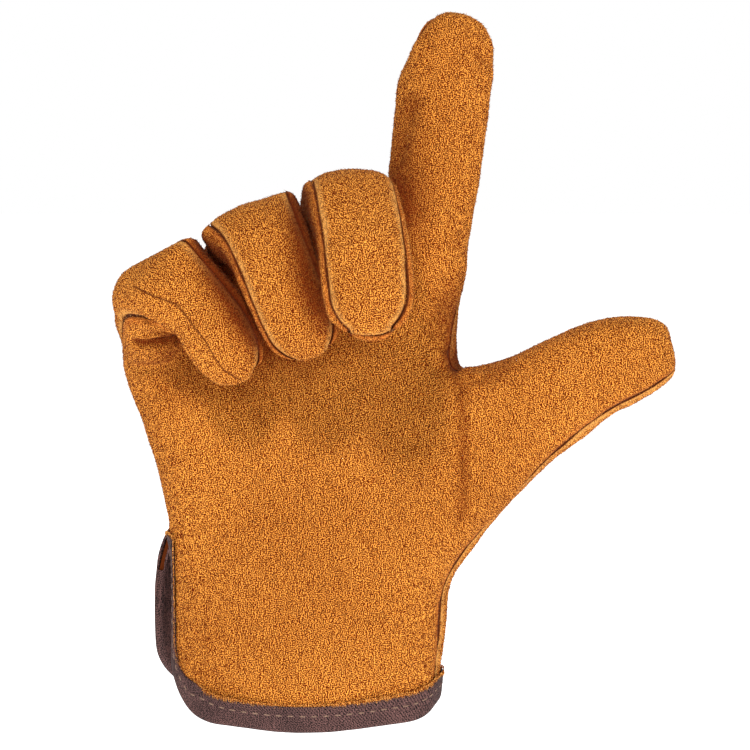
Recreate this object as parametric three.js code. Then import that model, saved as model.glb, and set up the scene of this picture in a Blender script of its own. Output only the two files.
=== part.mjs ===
// A leather work glove for the right hand, in millimetres: split cowhide in two main pieces, palm and back, with a
// forked side strip between each two fingers and a woven tape round the cuff. It keeps the shape that it has on a
// hand whose index finger points up, whose thumb is held out and whose other three fingers are curled.
// +Z runs from the wrist to the index fingertip, the palm faces -Y, and the thumb points to +X. The origin is the
// centre of the wrist opening.
import * as THREE from "three";

const rad = THREE.MathUtils.degToRad;
const { lerp, clamp } = THREE.MathUtils;
const vec = (x, y, z) => new THREE.Vector3(x, y, z);
const mix = (a, b, t) => a.clone().lerp(b, t);
const middle = (points) =>
  points.reduce((sum, p) => sum.add(p), vec(0, 0, 0)).divideScalar(points.length);

// Leather and tape
const LEATHER = 1.5; // wall of the hide
const SEAM_GAP = 0.7; // between two pieces that are sewn edge to edge
const SEAM_DIP = 0.7; // how far a turned seam sinks below the hide beside it
const TAPE = 0.8; // woven tape
const TAPE_GAP = 0.3; // between tape and hide
const TAPE_WIDTH = 9.3; // of each leg of the folded tape
const SLIT_END = 0.3; // from each tape to the seam line at the top of the slit
const HIDE = { color: 0xc0733a, roughness: 0.95, metalness: 0 };
const WOVEN_TAPE = { color: 0x5a4340, roughness: 0.85, metalness: 0 };

// The hand section by section, from the hem to the knuckles. left and right are the ulnar and radial edges, front and
// back the depth of the palm side and the back of the hand from the middle plane. tilt is how much higher the radial
// edge is, open how far the section stays open towards the thumb instead of closing round.
const PALM = [
  { z: 0, left: -46.5, right: 44, front: 24, back: 23, tilt: 0, open: 0 },
  { z: TAPE_WIDTH, left: -47.5, right: 44.8, front: 24, back: 23, tilt: 0, open: 0 },
  { z: 23, left: -48, right: 46.2, front: 24, back: 23, tilt: 0, open: 0 },
  { z: 36, left: -48, right: 46.8, front: 23.5, back: 22.5, tilt: 0, open: 0 },
  { z: 48.5, left: -48.5, right: 49.6, front: 23, back: 22, tilt: 0, open: 0 },
  { z: 61, left: -49, right: 58, front: 22.5, back: 21.5, tilt: 1, open: 0.2 },
  { z: 71, left: -49.6, right: 60, front: 22, back: 20.5, tilt: 6, open: 0.9 },
  { z: 81.5, left: -51.8, right: 60, front: 21.5, back: 19.5, tilt: 10, open: 1 },
  { z: 92, left: -55.2, right: 57, front: 20, back: 18.5, tilt: 13, open: 0.9 },
  { z: 104, left: -59.5, right: 50, front: 18, back: 17.5, tilt: 15, open: 0.2 },
  { z: 118, left: -64, right: 50.5, front: 16, back: 16.5, tilt: 14, open: 0 },
];
const KNUCKLE_ROW = PALM.length - 1;
const THUMB_LOW = 5; // the thumb grows out of the side between these two rows
const THUMB_HIGH = 9;
const SQUARENESS = 2.5; // of every cross section: 2 is an ellipse
const RADIAL_SEAM = 18; // degrees that the side seam on the thumb's side is turned to the palm

// Height of the edge of the cuff: it hangs lowest in the middle of the palm side and rises to both sides.
const HEM = { middle: -2, palm: -2.9, back: 2, leftRise: 0.0036, rightRise: 0.0029, backRise: 0.001 };
// Side slit, row by row from the hem: how far the edges of palm and back stand from the ulnar seam line along the
// hide, how far that lifts the round corners, and how far the back flares out.
const SLIT = [
  { palm: 12, back: 13, lift: 3, flare: 3.6 },
  { palm: 4.5, back: 5.5, lift: 1.8, flare: 5 },
  { palm: 1.8, back: 2, lift: 0, flare: 5.3 },
  { palm: 1.5, back: 1, lift: 0, flare: 5.3 },
  { palm: 1.5, back: 1.5, lift: 0, flare: 4 },
];

// Joints of each finger, from inside the hand to the end of the leather: the finger's middle line, its width and depth
// there, how square its section is, the radius of the middle line, and how many degrees its right side is raised,
// seen from the palm side.
const FINGERS = {
  little: {
    rings: 6,
    joints: [
      { x: -50.5, y: 1, z: 104, wide: 25, deep: 25.5, square: 2.4, bend: 0, roll: 14 },
      { x: -52, y: 1, z: 121, wide: 25, deep: 25, square: 2.4, bend: 20, roll: 20 },
      { x: -50, y: -29, z: 151.7, wide: 26.5, deep: 22.5, square: 3.2, bend: 14, roll: 44 },
      { x: -32, y: -38.5, z: 141.5, wide: 24.5, deep: 21.5, square: 2.6, bend: 22, roll: 40 },
      { x: -20, y: -40.5, z: 116.5, wide: 23.5, deep: 19.5, square: 2.2, bend: 0, roll: 28 },
    ],
  },
  ring: {
    rings: 6,
    joints: [
      { x: -23, y: 1, z: 110, wide: 26.5, deep: 27, square: 2.4, bend: 0, roll: 10 },
      { x: -23, y: 1, z: 128, wide: 26.5, deep: 27, square: 2.4, bend: 22, roll: 10 },
      { x: -17.8, y: -31, z: 174.5, wide: 28, deep: 24, square: 3.4, bend: 15, roll: 20 },
      { x: -7.5, y: -49, z: 151.5, wide: 26, deep: 23.5, square: 2.8, bend: 24, roll: 18 },
      { x: 3, y: -52, z: 125.5, wide: 25, deep: 20.5, square: 2.2, bend: 0, roll: 14 },
    ],
  },
  middle: {
    rings: 6,
    joints: [
      { x: 6.5, y: 1, z: 114, wide: 28.5, deep: 28, square: 2.4, bend: 0, roll: 8 },
      { x: 6.5, y: 1, z: 134, wide: 28.5, deep: 28, square: 2.4, bend: 24, roll: 8 },
      { x: 14, y: -31, z: 182, wide: 29, deep: 25.5, square: 4, bend: 15.5, roll: 2 },
      { x: 19, y: -59, z: 159, wide: 28.5, deep: 24.5, square: 2.8, bend: 24, roll: 0 },
      { x: 21, y: -73, z: 134.5, wide: 27, deep: 21.5, square: 2.2, bend: 0, roll: 0 },
    ],
  },
  index: {
    rings: 4,
    joints: [
      { x: 34.5, y: 1, z: 114, wide: 30, deep: 28, square: 2.4, bend: 0, roll: 4 },
      { x: 35.5, y: 1, z: 134, wide: 30, deep: 27.5, square: 2.4, bend: 30, roll: 2 },
      { x: 41, y: -2, z: 178, wide: 30.5, deep: 26, square: 2.6, bend: 60, roll: 0 },
      { x: 45.3, y: -4, z: 208, wide: 30.5, deep: 24.5, square: 2.5, bend: 60, roll: 0 },
      { x: 50, y: -6, z: 238, wide: 28.5, deep: 21.5, square: 2.1, bend: 0, roll: 0 },
    ],
  },
};
const WEB = 12; // from the knuckle to the middle of the web, and from there to the crotch
const TIP_ROUND = 14; // length of the rounded fingertip
const TIP_RINGS = [0.52, 0.16]; // sections of the fingertip, as shares of that length
const STRIP_ANGLE = { crotch: 38, tip: 18 }; // half the width of a side strip, in degrees round the finger

// Sections of the thumb: its middle line, width across the palm plane, depth, and the angle at which it stands.
const THUMB = [
  { x: 60.5, y: -3, z: 95.6, wide: 48.5, deep: 38, lean: 14.5 },
  { x: 70.5, y: -6, z: 103, wide: 41, deep: 32.5, lean: 22 },
  { x: 82.5, y: -9, z: 111.4, wide: 35.5, deep: 28, lean: 28 },
  { x: 95, y: -11.5, z: 118.4, wide: 32, deep: 25.5, lean: 26 },
  { x: 107.5, y: -13, z: 123, wide: 29, deep: 23, lean: 16 },
  { x: 118, y: -13.5, z: 124.8, wide: 21, deep: 16.5, lean: 8 },
];
const THUMB_TIP = { x: 123.4, y: -14, z: 123.2 };
const THUMB_TURN = 30; // degrees that its seams are turned: the lower one to the palm side, the upper one to the back

// A point of a rounded box section: angle 0 is the radial side, 90 the back, 180 the ulnar side, 270 the palm.
function sectionPoint(angle, halfWidth, halfDepth, squareness = SQUARENESS) {
  const c = Math.cos(rad(angle));
  const s = Math.sin(rad(angle));
  const round = (v) => Math.sign(v) * Math.abs(v) ** (2 / squareness);
  return { across: halfWidth * round(c), deep: halfDepth * round(s) };
}

// Cage: a coarse net of four-sided faces that the skin is smoothed from. targets is where the skin should pass.
const cage = { targets: [], faces: [] };
const addPoint = (p) => cage.targets.push(p) - 1;
const addFace = (corners, piece, bound = false) => cage.faces.push({ corners, piece, bound });

const COLUMNS = 20; // 0 to 8 palm side, 9 radial seam, 10 to 18 back, 19 ulnar seam
const RADIAL = 9;
const ULNAR = 19;

// One half of a section of the hand as a dense line from the ulnar to the radial seam.
function halfSection(row, onBack) {
  const { left, right, front, back, open } = PALM[row];
  const centre = (left + right) / 2;
  const half = (right - left) / 2;
  const end = onBack ? lerp(-RADIAL_SEAM, RADIAL_SEAM, open) : 360 - RADIAL_SEAM;
  const line = [];
  const steps = 120;
  for (let i = 0; i <= steps; i++) {
    const angle = lerp(180, end, i / steps);
    const s = sectionPoint(angle, half, Math.sin(rad(angle)) > 0 ? back : front);
    const wide = clamp((s.across / half) * 1.4, 0, 1) * open;
    const full = Math.sign(s.deep) * (s.deep > 0 ? back : front);
    line.push(vec(centre + s.across, lerp(s.deep, full, wide * 0.9), 0));
  }
  return line;
}

// Position and direction at a distance along a line of points, with the sizes that the points carry.
function along(line, distance) {
  let left = distance;
  for (let i = 1; i < line.length; i++) {
    const [from, to] = [line[i - 1], line[i]];
    const step = to.clone().sub(from);
    const length = step.length();
    if (left <= length || i === line.length - 1) {
      const share = left / length;
      const size = (column) => lerp(from.joint[column], to.joint[column], clamp(share, 0, 1));
      return { point: from.clone().addScaledVector(step, share), tangent: step.divideScalar(length), size };
    }
    left -= length;
  }
  return null;
}
const lengthOf = (line) => line.slice(1).reduce((sum, p, i) => sum + p.distanceTo(line[i]), 0);

function hemHeight(x, onBack) {
  const d = x - HEM.middle;
  if (onBack) return HEM.back + d * d * HEM.backRise;
  return HEM.palm + d * d * (d < 0 ? HEM.leftRise : HEM.rightRise);
}

// Points of one row on the palm side or the back, from the ulnar to the radial seam line, evenly spaced but for the
// band under the tape.
function rowPoints(row, onBack) {
  const { z, left, right, tilt } = PALM[row];
  const line = halfSection(row, onBack);
  const slit = SLIT[row];
  const start = slit ? (onBack ? slit.back : slit.palm) : 0;
  const total = lengthOf(line);
  const first = slit ? start + TAPE_WIDTH * (row === 0 ? 1.05 : 1) : total / 10;
  const hemShare = [1, 1, 0.35][row] ?? 0;
  const points = [];
  for (let k = 0; k <= 10; k++) {
    const distance = k === 0 ? start : lerp(first, total, (k - 1) / 9);
    const p = along(line, distance).point;
    p.z = z + tilt * clamp((p.x - left) / (right - left), 0, 1);
    if (row < 3) p.z += hemHeight(p.x, onBack) * hemShare;
    if (slit && k === 0) p.z += slit.lift;
    if (slit && k === 1) p.z += slit.lift * 0.15;
    if (slit && onBack) p.x -= slit.flare * (1 - k / 4) * (k < 4 ? 1 : 0);
    points.push(p);
  }
  return points;
}

const hand = PALM.map((unused, row) => {
  const palmSide = rowPoints(row, false);
  const backSide = rowPoints(row, true);
  const indices = [];
  for (let column = 0; column < COLUMNS; column++) {
    const insideThumb = column === RADIAL && row > THUMB_LOW && row < THUMB_HIGH;
    if (insideThumb) continue;
    let p = column <= RADIAL ? palmSide[column + 1] : backSide[19 - column];
    if (column === RADIAL) p = mix(p, backSide[10], 0.5);
    if (column === ULNAR) p = palmSide[0];
    indices[column] = addPoint(p);
  }
  // The slit parts the ulnar seam into a palm edge and a back edge.
  indices.slitBack = row < SLIT.length ? addPoint(backSide[0]) : indices[ULNAR];
  return indices;
});
const corner = (row, column, onBack) =>
  onBack && column === ULNAR ? hand[row].slitBack : hand[row][column % COLUMNS];

for (let row = 0; row < KNUCKLE_ROW; row++) {
  for (let column = 0; column < COLUMNS; column++) {
    const besideThumb = column === RADIAL - 1 || column === RADIAL;
    if (besideThumb && row >= THUMB_LOW && row < THUMB_HIGH) continue;
    const onBack = column >= RADIAL && column < ULNAR;
    const bound = row === 0 || (row < SLIT.length && (column === ULNAR || column === ULNAR - 1));
    const corners = [
      corner(row, column, onBack),
      corner(row, column + 1, onBack),
      corner(row + 1, column + 1, onBack),
      corner(row + 1, column, onBack),
    ];
    addFace(corners, onBack ? "back_leather" : "palm_leather", bound);
  }
}

// Middle line of a finger: straight bones joined by round bends, as closely spaced points.
function middleLine(joints) {
  const at = joints.map((j) => vec(j.x, j.y, j.z));
  const line = [];
  const add = (p, joint) => line.push(Object.assign(p, { joint }));
  for (let i = 0; i < at.length; i++) {
    if (i === 0 || i === at.length - 1) {
      add(at[i].clone(), joints[i]);
      continue;
    }
    const before = at[i - 1].clone().sub(at[i]).normalize();
    const after = at[i + 1].clone().sub(at[i]).normalize();
    const turn = Math.PI - before.angleTo(after);
    const reach = joints[i].bend * Math.tan(turn / 2);
    const start = at[i].clone().addScaledVector(before, reach);
    const inward = before.clone().add(after).normalize();
    const centre = at[i].clone().addScaledVector(inward, joints[i].bend / Math.cos(turn / 2));
    const axis = before.clone().cross(after).normalize();
    const steps = 12;
    for (let k = 0; k <= steps; k++) {
      const swung = start.clone().sub(centre).applyAxisAngle(axis, (-turn * k) / steps);
      add(swung.add(centre), joints[i]);
    }
  }
  return line;
}

// Eight points round a finger: palm side left, middle, right; right side; back right, middle, left; left side.
function fingerRing(line, distance, start, total) {
  const { point, tangent, size } = along(line, distance);
  const roll = rad(size("roll"));
  const back = tangent.clone().cross(vec(Math.cos(roll), 0, Math.sin(roll))).normalize();
  const across = back.clone().cross(tangent).normalize();
  const fromTip = total - distance;
  const round = fromTip < TIP_ROUND ? Math.sqrt(1 - ((TIP_ROUND - fromTip) / TIP_ROUND) ** 2) : 1;
  const share = clamp((distance - start) / (total - start), 0, 1);
  const strip = lerp(STRIP_ANGLE.crotch, STRIP_ANGLE.tip, share);
  return [180 + strip, 270, 360 - strip, 0, strip, 90, 180 - strip, 180].map((angle) => {
    const s = sectionPoint(angle, (size("wide") / 2) * round, (size("deep") / 2) * round, size("square"));
    return point.clone().addScaledVector(across, s.across).addScaledVector(back, s.deep);
  });
}

const names = Object.keys(FINGERS);
const lines = names.map((name) => middleLine(FINGERS[name].joints));
const knuckleAt = names.map((name) => {
  const [root, knuckle] = FINGERS[name].joints;
  return vec(root.x, root.y, root.z).distanceTo(vec(knuckle.x, knuckle.y, knuckle.z));
});

// Two web rows join the four fingers: each shares its side columns with its neighbour.
const webRows = [1, 2].map((step) => {
  const rings = names.map((unused, i) => {
    const total = lengthOf(lines[i]);
    const start = knuckleAt[i] + 2 * WEB;
    return fingerRing(lines[i], knuckleAt[i] + step * WEB, start, total);
  });
  const row = [];
  for (let i = 0; i <= 4; i++) {
    const leftRing = rings[i - 1];
    const rightRing = rings[i];
    row[2 * i] = addPoint(middle([leftRing?.[2], rightRing?.[0]].filter(Boolean)));
    row[18 - 2 * i] = addPoint(middle([leftRing?.[4], rightRing?.[6]].filter(Boolean)));
    if (rightRing) {
      row[2 * i + 1] = addPoint(rightRing[1]);
      row[17 - 2 * i] = addPoint(rightRing[5]);
    }
  }
  row[RADIAL] = addPoint(rings[3][3]);
  row[ULNAR] = addPoint(rings[0][7]);
  row.crotch = step === 2 ? [1, 2, 3].map((i) => addPoint(middle([rings[i - 1][3], rings[i][7]]))) : [];
  return row;
});
[hand[KNUCKLE_ROW], webRows[0], webRows[1]].forEach((low, i, rows) => {
  const high = rows[i + 1];
  if (!high) return;
  for (let column = 0; column < COLUMNS; column++) {
    const next = (column + 1) % COLUMNS;
    const onBack = column >= RADIAL && column < ULNAR;
    addFace([low[column], low[next], high[next], high[column]], onBack ? "back_leather" : "palm_leather");
  }
});

// Free part of each finger, from the crotch to the tip, closed by four faces.
const strips = ["fourchette_little_ring", "fourchette_ring_middle", "fourchette_middle_index"];
names.forEach((name, i) => {
  const finger = FINGERS[name];
  const web = webRows[1];
  let low = [
    web[2 * i],
    web[2 * i + 1],
    web[2 * i + 2],
    i < 3 ? web.crotch[i] : web[RADIAL],
    web[16 - 2 * i],
    web[17 - 2 * i],
    web[18 - 2 * i],
    i > 0 ? web.crotch[i - 1] : web[ULNAR],
  ];
  const rightPieces = i < 3 ? [strips[i], strips[i]] : ["palm_leather", "back_leather"];
  const leftPieces = i > 0 ? [strips[i - 1], strips[i - 1]] : ["back_leather", "palm_leather"];
  const pieces = ["palm_leather", "palm_leather", ...rightPieces, "back_leather", "back_leather", ...leftPieces];
  const total = lengthOf(lines[i]);
  const start = knuckleAt[i] + 2 * WEB;
  const distances = TIP_RINGS.map((share) => total - TIP_ROUND * share);
  for (let ring = finger.rings; ring > 0; ring--)
    distances.unshift(lerp(start, total - TIP_ROUND, ring / finger.rings));
  for (const distance of distances) {
    const high = fingerRing(lines[i], distance, start, total).map(addPoint);
    for (let k = 0; k < 8; k++) addFace([low[k], low[(k + 1) % 8], high[(k + 1) % 8], high[k]], pieces[k]);
    low = high;
  }
  const tip = addPoint(lines[i].at(-1));
  addFace([low[0], low[1], tip, low[7]], "palm_leather");
  addFace([low[1], low[2], low[3], tip], "palm_leather");
  addFace([tip, low[3], low[4], low[5]], "back_leather");
  addFace([low[7], tip, low[5], low[6]], "back_leather");
});

// Thumb: rings from the opening in the side of the hand to the tip, each from its lower seam over the palm side to
// its upper seam and on round the back.
const thumbSpan = THUMB_HIGH - THUMB_LOW + 2; // faces from one seam to the other
{
  let low = [hand[THUMB_LOW][RADIAL]];
  for (let row = THUMB_LOW; row <= THUMB_HIGH; row++) low.push(hand[row][RADIAL - 1]);
  low.push(hand[THUMB_HIGH][RADIAL]);
  for (let row = THUMB_HIGH; row >= THUMB_LOW; row--) low.push(hand[row][RADIAL + 1]);
  const sides = low.length;
  THUMB.forEach((section, i) => {
    const forward = vec(Math.cos(rad(section.lean)), -0.12, Math.sin(rad(section.lean))).normalize();
    const back = vec(0, 1, 0).addScaledVector(forward, -forward.y).normalize();
    const upward = forward.clone().cross(back);
    const turn = THUMB_TURN * Math.min(1, (i + 1) / 3);
    const high = low.map((unused, k) => {
      const s = sectionPoint(-90 + (k * 360) / sides + turn, section.deep / 2, section.wide / 2);
      const centre = vec(section.x, section.y, section.z);
      return addPoint(centre.addScaledVector(back, -s.across).addScaledVector(upward, s.deep));
    });
    for (let k = 0; k < sides; k++) {
      const next = (k + 1) % sides;
      addFace([low[k], high[k], high[next], low[next]], k < thumbSpan ? "palm_leather" : "back_leather");
    }
    low = high;
  });
  const tip = vec(THUMB_TIP.x, THUMB_TIP.y, THUMB_TIP.z);
  const seam = [low[0]];
  for (let i = 1; i <= thumbSpan - 3; i++) {
    const t = i / (thumbSpan - 2);
    const chord = mix(cage.targets[low[0]], cage.targets[low[thumbSpan]], t);
    const flatTip = chord.clone().add(tip).sub(mix(cage.targets[low[0]], cage.targets[low[thumbSpan]], 0.5));
    seam.push(addPoint(mix(chord, flatTip, Math.sqrt(1 - (2 * t - 1) ** 2))));
  }
  seam.push(low[thumbSpan]);
  for (let i = 0; i < thumbSpan - 2; i++) {
    addFace([seam[i], seam[i + 1], low[i + 2], low[i + 1]], "palm_leather");
    addFace([seam[i + 1], seam[i], low[sides - 1 - i], low[sides - 2 - i]], "back_leather");
  }
}

// One step of Catmull-Clark smoothing. Edges with one face are kept as smooth curves of their own.
function smooth(points, faces) {
  const edges = new Map();
  const edgeOf = (a, b) => (a < b ? `${a},${b}` : `${b},${a}`);
  const facePoints = faces.map((face) => middle(face.corners.map((c) => points[c])));
  const around = points.map(() => ({ faces: [], edges: [], border: [] }));
  faces.forEach((face, f) => {
    face.corners.forEach((a, k) => {
      const b = face.corners[(k + 1) % 4];
      const key = edgeOf(a, b);
      if (!edges.has(key)) edges.set(key, { ends: [a, b], faces: [] });
      edges.get(key).faces.push(f);
      around[a].faces.push(f);
    });
  });
  const made = [];
  const push = (p) => made.push(p) - 1;
  for (const edge of edges.values()) {
    const mid = middle(edge.ends.map((e) => points[e]));
    const open = edge.faces.length === 1;
    for (const end of edge.ends) (open ? around[end].border : around[end].edges).push(mid);
    edge.point = open ? mid : middle([...edge.ends.map((e) => points[e]), ...edge.faces.map((f) => facePoints[f])]);
  }
  points.forEach((p, i) => {
    const { faces: ring, edges: spokes, border } = around[i];
    if (border.length) {
      push(middle([p, p, border[0], border[1]]));
      return;
    }
    const n = ring.length;
    const f = middle(ring.map((k) => facePoints[k]));
    const e = middle(spokes);
    push(f.addScaledVector(e, 2).addScaledVector(p, n - 3).divideScalar(n));
  });
  for (const edge of edges.values()) edge.index = push(edge.point);
  const newFaces = [];
  faces.forEach((face, f) => {
    const centre = push(facePoints[f]);
    face.corners.forEach((a, k) => {
      const next = edges.get(edgeOf(a, face.corners[(k + 1) % 4])).index;
      const last = edges.get(edgeOf(a, face.corners[(k + 3) % 4])).index;
      newFaces.push({ ...face, corners: [a, next, centre, last] });
    });
  });
  return { points: made, faces: newFaces };
}

// The cage is moved until the smoothed skin passes through its targets.
const FIT_ROUNDS = 12;
let cagePoints = cage.targets.map((p) => p.clone());
for (let round = 0; round < FIT_ROUNDS; round++) {
  const skinNow = smooth(cagePoints, cage.faces);
  cagePoints = cagePoints.map((p, i) => p.add(cage.targets[i].clone().sub(skinNow.points[i]).multiplyScalar(0.8)));
}
const skin = smooth(cagePoints, cage.faces);

// Outward direction at each point of the skin.
function normalsOf(points, faces) {
  const normals = points.map(() => vec(0, 0, 0));
  for (const { corners } of faces) {
    const [a, b, c, d] = corners.map((i) => points[i]);
    const n = c.clone().sub(a).cross(d.clone().sub(b));
    for (const i of corners) normals[i].add(n);
  }
  return normals.map((n) => n.normalize());
}

// Main dents and folds: each runs along a straight line beside the hide and sinks the skin round it.
const FOLDS = [
  { name: "side of index finger", from: vec(31, -9, 204), to: vec(27, -8, 186), width: 6, depth: 2.2 },
  { name: "end of index finger", from: vec(62, -10, 222), to: vec(62, -6, 221), width: 6, depth: 1.4 },
  { name: "base of thumb", from: vec(52, -24, 110), to: vec(52, -24, 72), width: 7, depth: 1.6 },
  { name: "crotch of thumb", from: vec(48, -14, 119), to: vec(60, -14, 118), width: 5, depth: 1.8 },
  { name: "hollow of palm", from: vec(-10, -22, 96), to: vec(12, -22, 90), width: 24, depth: 3 },
];
const firstNormals = normalsOf(skin.points, skin.faces);
for (const { from, to, width, depth } of FOLDS) {
  const segment = new THREE.Line3(from, to);
  skin.points.forEach((p, i) => {
    const gap = segment.closestPointToPoint(p, true, vec(0, 0, 0)).distanceTo(p);
    p.addScaledVector(firstNormals[i], -depth * Math.exp(-((gap / width) ** 2)));
  });
}

// Turned seams sink a little below the hide beside them.
const piecesAt = skin.points.map(() => new Set());
for (const { corners, piece } of skin.faces) for (const i of corners) piecesAt[i].add(piece);
skin.points.forEach((p, i) => {
  if (piecesAt[i].size > 1) p.addScaledVector(firstNormals[i], -SEAM_DIP);
});
const normals = normalsOf(skin.points, skin.faces);

// Collects quads and writes them out as a three.js geometry. turned gives a quad the other side as its outside.
class Solid {
  constructor() {
    this.positions = [];
    this.triangles = [];
  }
  point(p) {
    this.positions.push(p.x, p.y, p.z);
    return this.positions.length / 3 - 1;
  }
  quad([a, b, c, d], turned = false) {
    if (turned) this.triangles.push(a, c, b, a, d, c);
    else this.triangles.push(a, b, c, a, c, d);
  }
  mesh(name, finish) {
    const geometry = new THREE.BufferGeometry();
    geometry.setAttribute("position", new THREE.Float32BufferAttribute(this.positions, 3));
    geometry.setIndex(this.triangles);
    geometry.computeVertexNormals();
    const mesh = new THREE.Mesh(geometry, new THREE.MeshStandardMaterial(finish));
    mesh.name = name;
    return mesh;
  }
}

// Edges of a patch that only one of its faces has, in the direction of that face.
function borderOf(faces) {
  const seen = new Map();
  for (const { corners } of faces)
    corners.forEach((a, k) => {
      const b = corners[(k + 1) % 4];
      if (seen.has(`${b},${a}`)) seen.delete(`${b},${a}`);
      else seen.set(`${a},${b}`, [a, b]);
    });
  return [...seen.values()];
}

// Direction along the skin from each border point into the patch.
function inwardFrom(edges) {
  const inward = new Map();
  for (const [a, b] of edges) {
    const edge = skin.points[b].clone().sub(skin.points[a]).normalize();
    for (const i of [a, b]) {
      const side = normals[i].clone().cross(edge);
      const sum = inward.get(i) ?? vec(0, 0, 0);
      inward.set(i, sum.add(side));
    }
  }
  // At a sharp corner the point goes further, so that both edges draw back by the same amount.
  for (const v of inward.values()) v.multiplyScalar(2 / Math.max(v.lengthSq(), 1));
  return inward;
}

const openEdges = borderOf(skin.faces);
const openKeys = new Set(openEdges.map((edge) => edge.join()));
const fromOpenEdge = inwardFrom(openEdges);
const fromSeam = new Map();
for (const name of ["palm_leather", "back_leather", ...strips]) {
  const edges = borderOf(skin.faces.filter((face) => face.piece === name));
  fromSeam.set(name, inwardFrom(edges.filter((edge) => !openKeys.has(edge.join()))));
}
// At the top of the slit the seam meets the open edge, so there both tapes keep clear of the seam line.
const slitTop = new Set(
  [...fromOpenEdge.keys()].filter((i) => piecesAt[i].size > 1 && skin.points[i].x < 0 && skin.points[i].z > 40),
);

// Draws a point of a piece back from the open edge by the given amount.
function drawnBack(p, i, piece, amount) {
  if (slitTop.has(i)) return p.addScaledVector(fromSeam.get(piece).get(i), amount + SLIT_END);
  return fromOpenEdge.has(i) ? p.addScaledVector(fromOpenEdge.get(i), amount) : p;
}

// A piece of hide: its patch of skin, drawn back from each seam and from under the fold of the tape, with a wall
// towards the hand.
function leatherPiece(name) {
  const faces = skin.faces.filter((face) => face.piece === name);
  const seams = fromSeam.get(name);
  const solid = new Solid();
  const outer = new Map();
  const inner = new Map();
  for (const { corners } of faces)
    for (const i of corners) {
      if (outer.has(i)) continue;
      const p = drawnBack(skin.points[i].clone(), i, name, TAPE + TAPE_GAP);
      if (seams.has(i) && !slitTop.has(i)) p.addScaledVector(seams.get(i), SEAM_GAP / 2);
      outer.set(i, solid.point(p));
      inner.set(i, solid.point(p.addScaledVector(normals[i], -LEATHER)));
    }
  for (const { corners } of faces) {
    solid.quad(corners.map((i) => outer.get(i)));
    solid.quad(corners.map((i) => inner.get(i)), true);
  }
  for (const [a, b] of borderOf(faces)) solid.quad([outer.get(b), outer.get(a), inner.get(a), inner.get(b)]);
  return solid.mesh(name, HIDE);
}

// The cuff tape is folded over the edge of the hide: two legs of two surfaces each, joined by a round fold.
function cuffTape(name) {
  const faces = skin.faces.filter((face) => face.bound);
  const middleLift = -LEATHER / 2;
  const layers = {
    top: { lift: TAPE_GAP + TAPE, back: 0.5 },
    under: { lift: TAPE_GAP, back: TAPE },
    above: { lift: -LEATHER - TAPE_GAP, back: TAPE },
    bottom: { lift: -LEATHER - TAPE_GAP - TAPE, back: 0.5 },
  };
  const solid = new Solid();
  const key = (i, piece) => (slitTop.has(i) ? `${i} ${piece}` : i);
  const at = { fold: new Map() };
  for (const layer of Object.keys(layers)) at[layer] = new Map();
  for (const { corners, piece } of faces)
    for (const i of corners) {
      if (at.top.has(key(i, piece))) continue;
      for (const [layer, { lift, back }] of Object.entries(layers)) {
        const p = skin.points[i].clone().addScaledVector(normals[i], lift);
        at[layer].set(key(i, piece), solid.point(drawnBack(p, i, piece, back)));
      }
      const p = skin.points[i].clone().addScaledVector(normals[i], middleLift);
      if (fromOpenEdge.has(i)) at.fold.set(key(i, piece), solid.point(drawnBack(p, i, piece, 0)));
    }
  const pieceOf = new Map();
  for (const { corners, piece } of faces) {
    const keys = corners.map((i) => key(i, piece));
    keys.forEach((a, k) => pieceOf.set(`${corners[k]},${corners[(k + 1) % 4]}`, piece));
    solid.quad(keys.map((k) => at.top.get(k)));
    solid.quad(keys.map((k) => at.under.get(k)), true);
    solid.quad(keys.map((k) => at.above.get(k)));
    solid.quad(keys.map((k) => at.bottom.get(k)), true);
  }
  for (const edge of borderOf(faces)) {
    const [a, b] = edge.map((i) => key(i, pieceOf.get(edge.join())));
    const wall = (high, low) => solid.quad([at[high].get(b), at[high].get(a), at[low].get(a), at[low].get(b)]);
    if (openKeys.has(edge.join())) {
      wall("top", "fold");
      wall("fold", "bottom");
      wall("above", "under");
      // Both ends of the tape are closed where they meet at the top of the slit.
      for (const [end, isLast] of [[a, false], [b, true]]) {
        if (!slitTop.has(edge[isLast ? 1 : 0])) continue;
        const [top, fold, bottom, above, under] = ["top", "fold", "bottom", "above", "under"].map((k) => at[k].get(end));
        for (const triangle of [[top, fold, under], [fold, above, under], [fold, bottom, above]])
          solid.triangles.push(...(isLast ? triangle : triangle.reverse()));
      }
    } else {
      wall("top", "under");
      wall("above", "bottom");
    }
  }
  return solid.mesh(name, WOVEN_TAPE);
}

const glove = new THREE.Group();
for (const name of ["palm_leather", "back_leather", ...strips]) glove.add(leatherPiece(name));
glove.add(cuffTape("cuff_binding"));

export default glove;
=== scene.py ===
"""A split leather work glove for the right hand, with a taped cuff, seen from its palm side."""
import math

import bmesh
import bpy
import numpy as np
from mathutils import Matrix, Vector
from mathutils.bvhtree import BVHTree
from mathutils.kdtree import KDTree


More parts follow.
